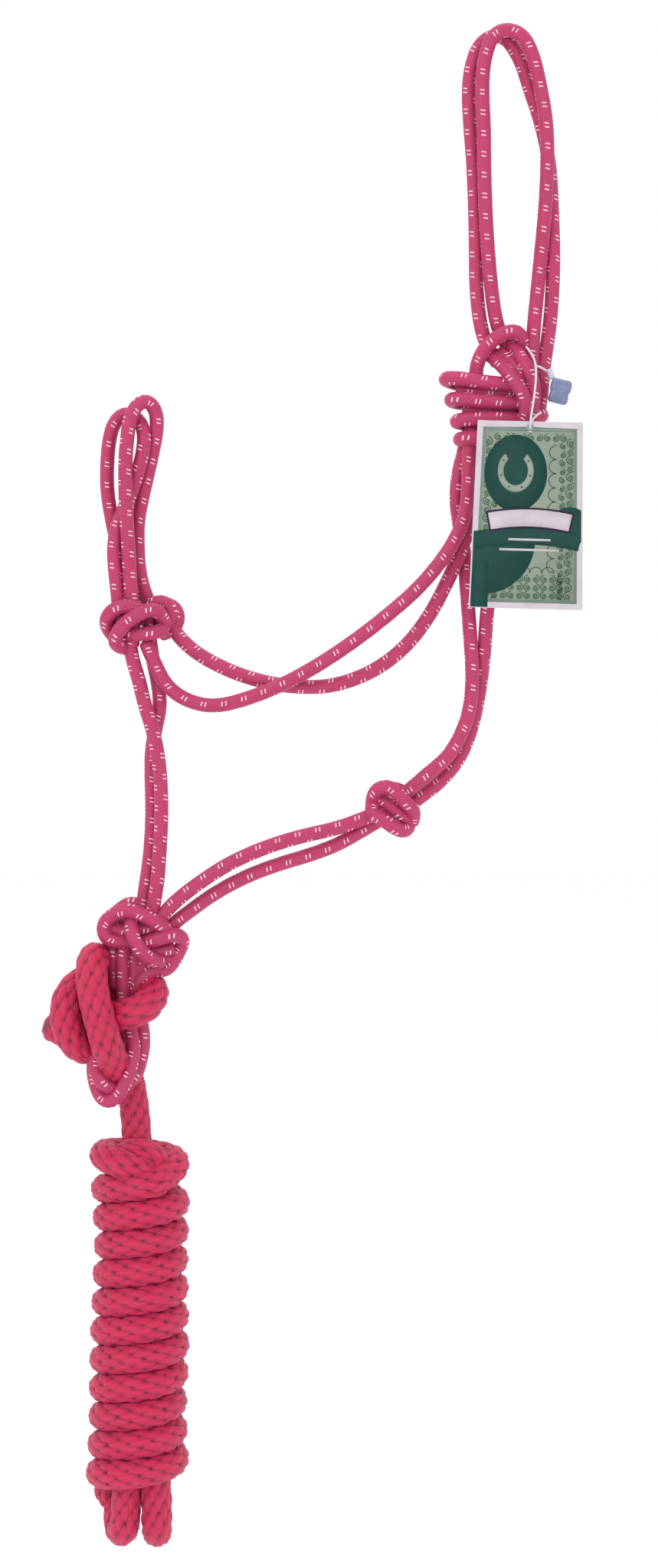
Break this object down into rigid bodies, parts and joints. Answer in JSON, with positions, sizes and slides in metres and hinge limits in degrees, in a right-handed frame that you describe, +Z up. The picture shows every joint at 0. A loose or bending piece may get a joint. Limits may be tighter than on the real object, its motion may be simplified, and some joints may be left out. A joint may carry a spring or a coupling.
{
  "type": "rope halter",
  "caption": "Rope halter of thin doubled cord with tied nose, throat and crown knots, a thick lead rope knotted to the chin loop and wound into a hank, and a hang tag on a string.",
  "frame": {"origin": "top of the inside of the crown loop, where a peg or hook holds the halter", "axes": "+Z up, +X from the noseband towards the crown, the front of the hanging halter faces -Y"},
  "size_m": [0.2444, 0.0583, 0.6931],
  "materials": {
    "halter_rope": "braided synthetic cord",
    "lead_rope": "braided synthetic rope",
    "tag_card": "printed matt card",
    "tag_string": "smooth cord",
    "tag_seal_neck": "gloss",
    "tag_seal_barrel": "gloss"
  },
  "bodies": {
    "halter": {"crown_rope_front": "halter_rope", "crown_rope_rear": "halter_rope", "tie_eye": "halter_rope", "tail_strand_lower": "halter_rope", "tail_strand_upper": "halter_rope", "tail_wraps": "halter_rope", "cheek_rope_near": "halter_rope", "cheek_rope_off": "halter_rope", "throat_rope_upper_near": "halter_rope", "throat_rope_upper_off": "halter_rope", "throat_rope_lower_near": "halter_rope", "throat_rope_lower_off": "halter_rope", "chin_rope_near": "halter_rope", "chin_rope_off": "halter_rope", "noseband_rope_front": "halter_rope", "noseband_rope_rear": "halter_rope", "chin_loop_near": "halter_rope", "chin_loop_off": "halter_rope", "nose_knot_near": "halter_rope", "nose_knot_off": "halter_rope", "throat_knot": "halter_rope", "fiador_knot": "halter_rope", "lead_knot": "lead_rope"},
    "lead_fall": {"lead_fall": "lead_rope"},
    "lead_hank": {"lead_hank_wraps": "lead_rope", "lead_hank_folds": "lead_rope", "lead_hank_tuck": "lead_rope"},
    "tag_string": {"tag_string": "tag_string", "tag_seal_neck": "tag_seal_neck", "tag_seal_barrel": "tag_seal_barrel"},
    "tag_card": {"tag_card": "tag_card"}
  },
  "joints": [
    {"name": "lead_swing", "type": "hinge", "parent": "halter", "child": "lead_fall", "pos_m": [-0.172, 0.014, -0.474], "axis": [0, 1, 0], "range_deg": [-25, 25]},
    {"name": "hank_swing", "type": "hinge", "parent": "lead_fall", "child": "lead_hank", "pos_m": [-0.1695, 0.014, -0.497], "axis": [1, 0, 0], "range_deg": [-20, 20]},
    {"name": "tag_swing", "type": "hinge", "parent": "halter", "child": "tag_string", "pos_m": [0.009, -0.008, -0.1395], "axis": [-1, 0, 0], "range_deg": [0, 45]},
    {"name": "card_rock", "type": "hinge", "parent": "tag_string", "child": "tag_card", "pos_m": [0.01, -0.018, -0.1775], "axis": [0, 1, 0], "range_deg": [-20, 20]}
  ]
}
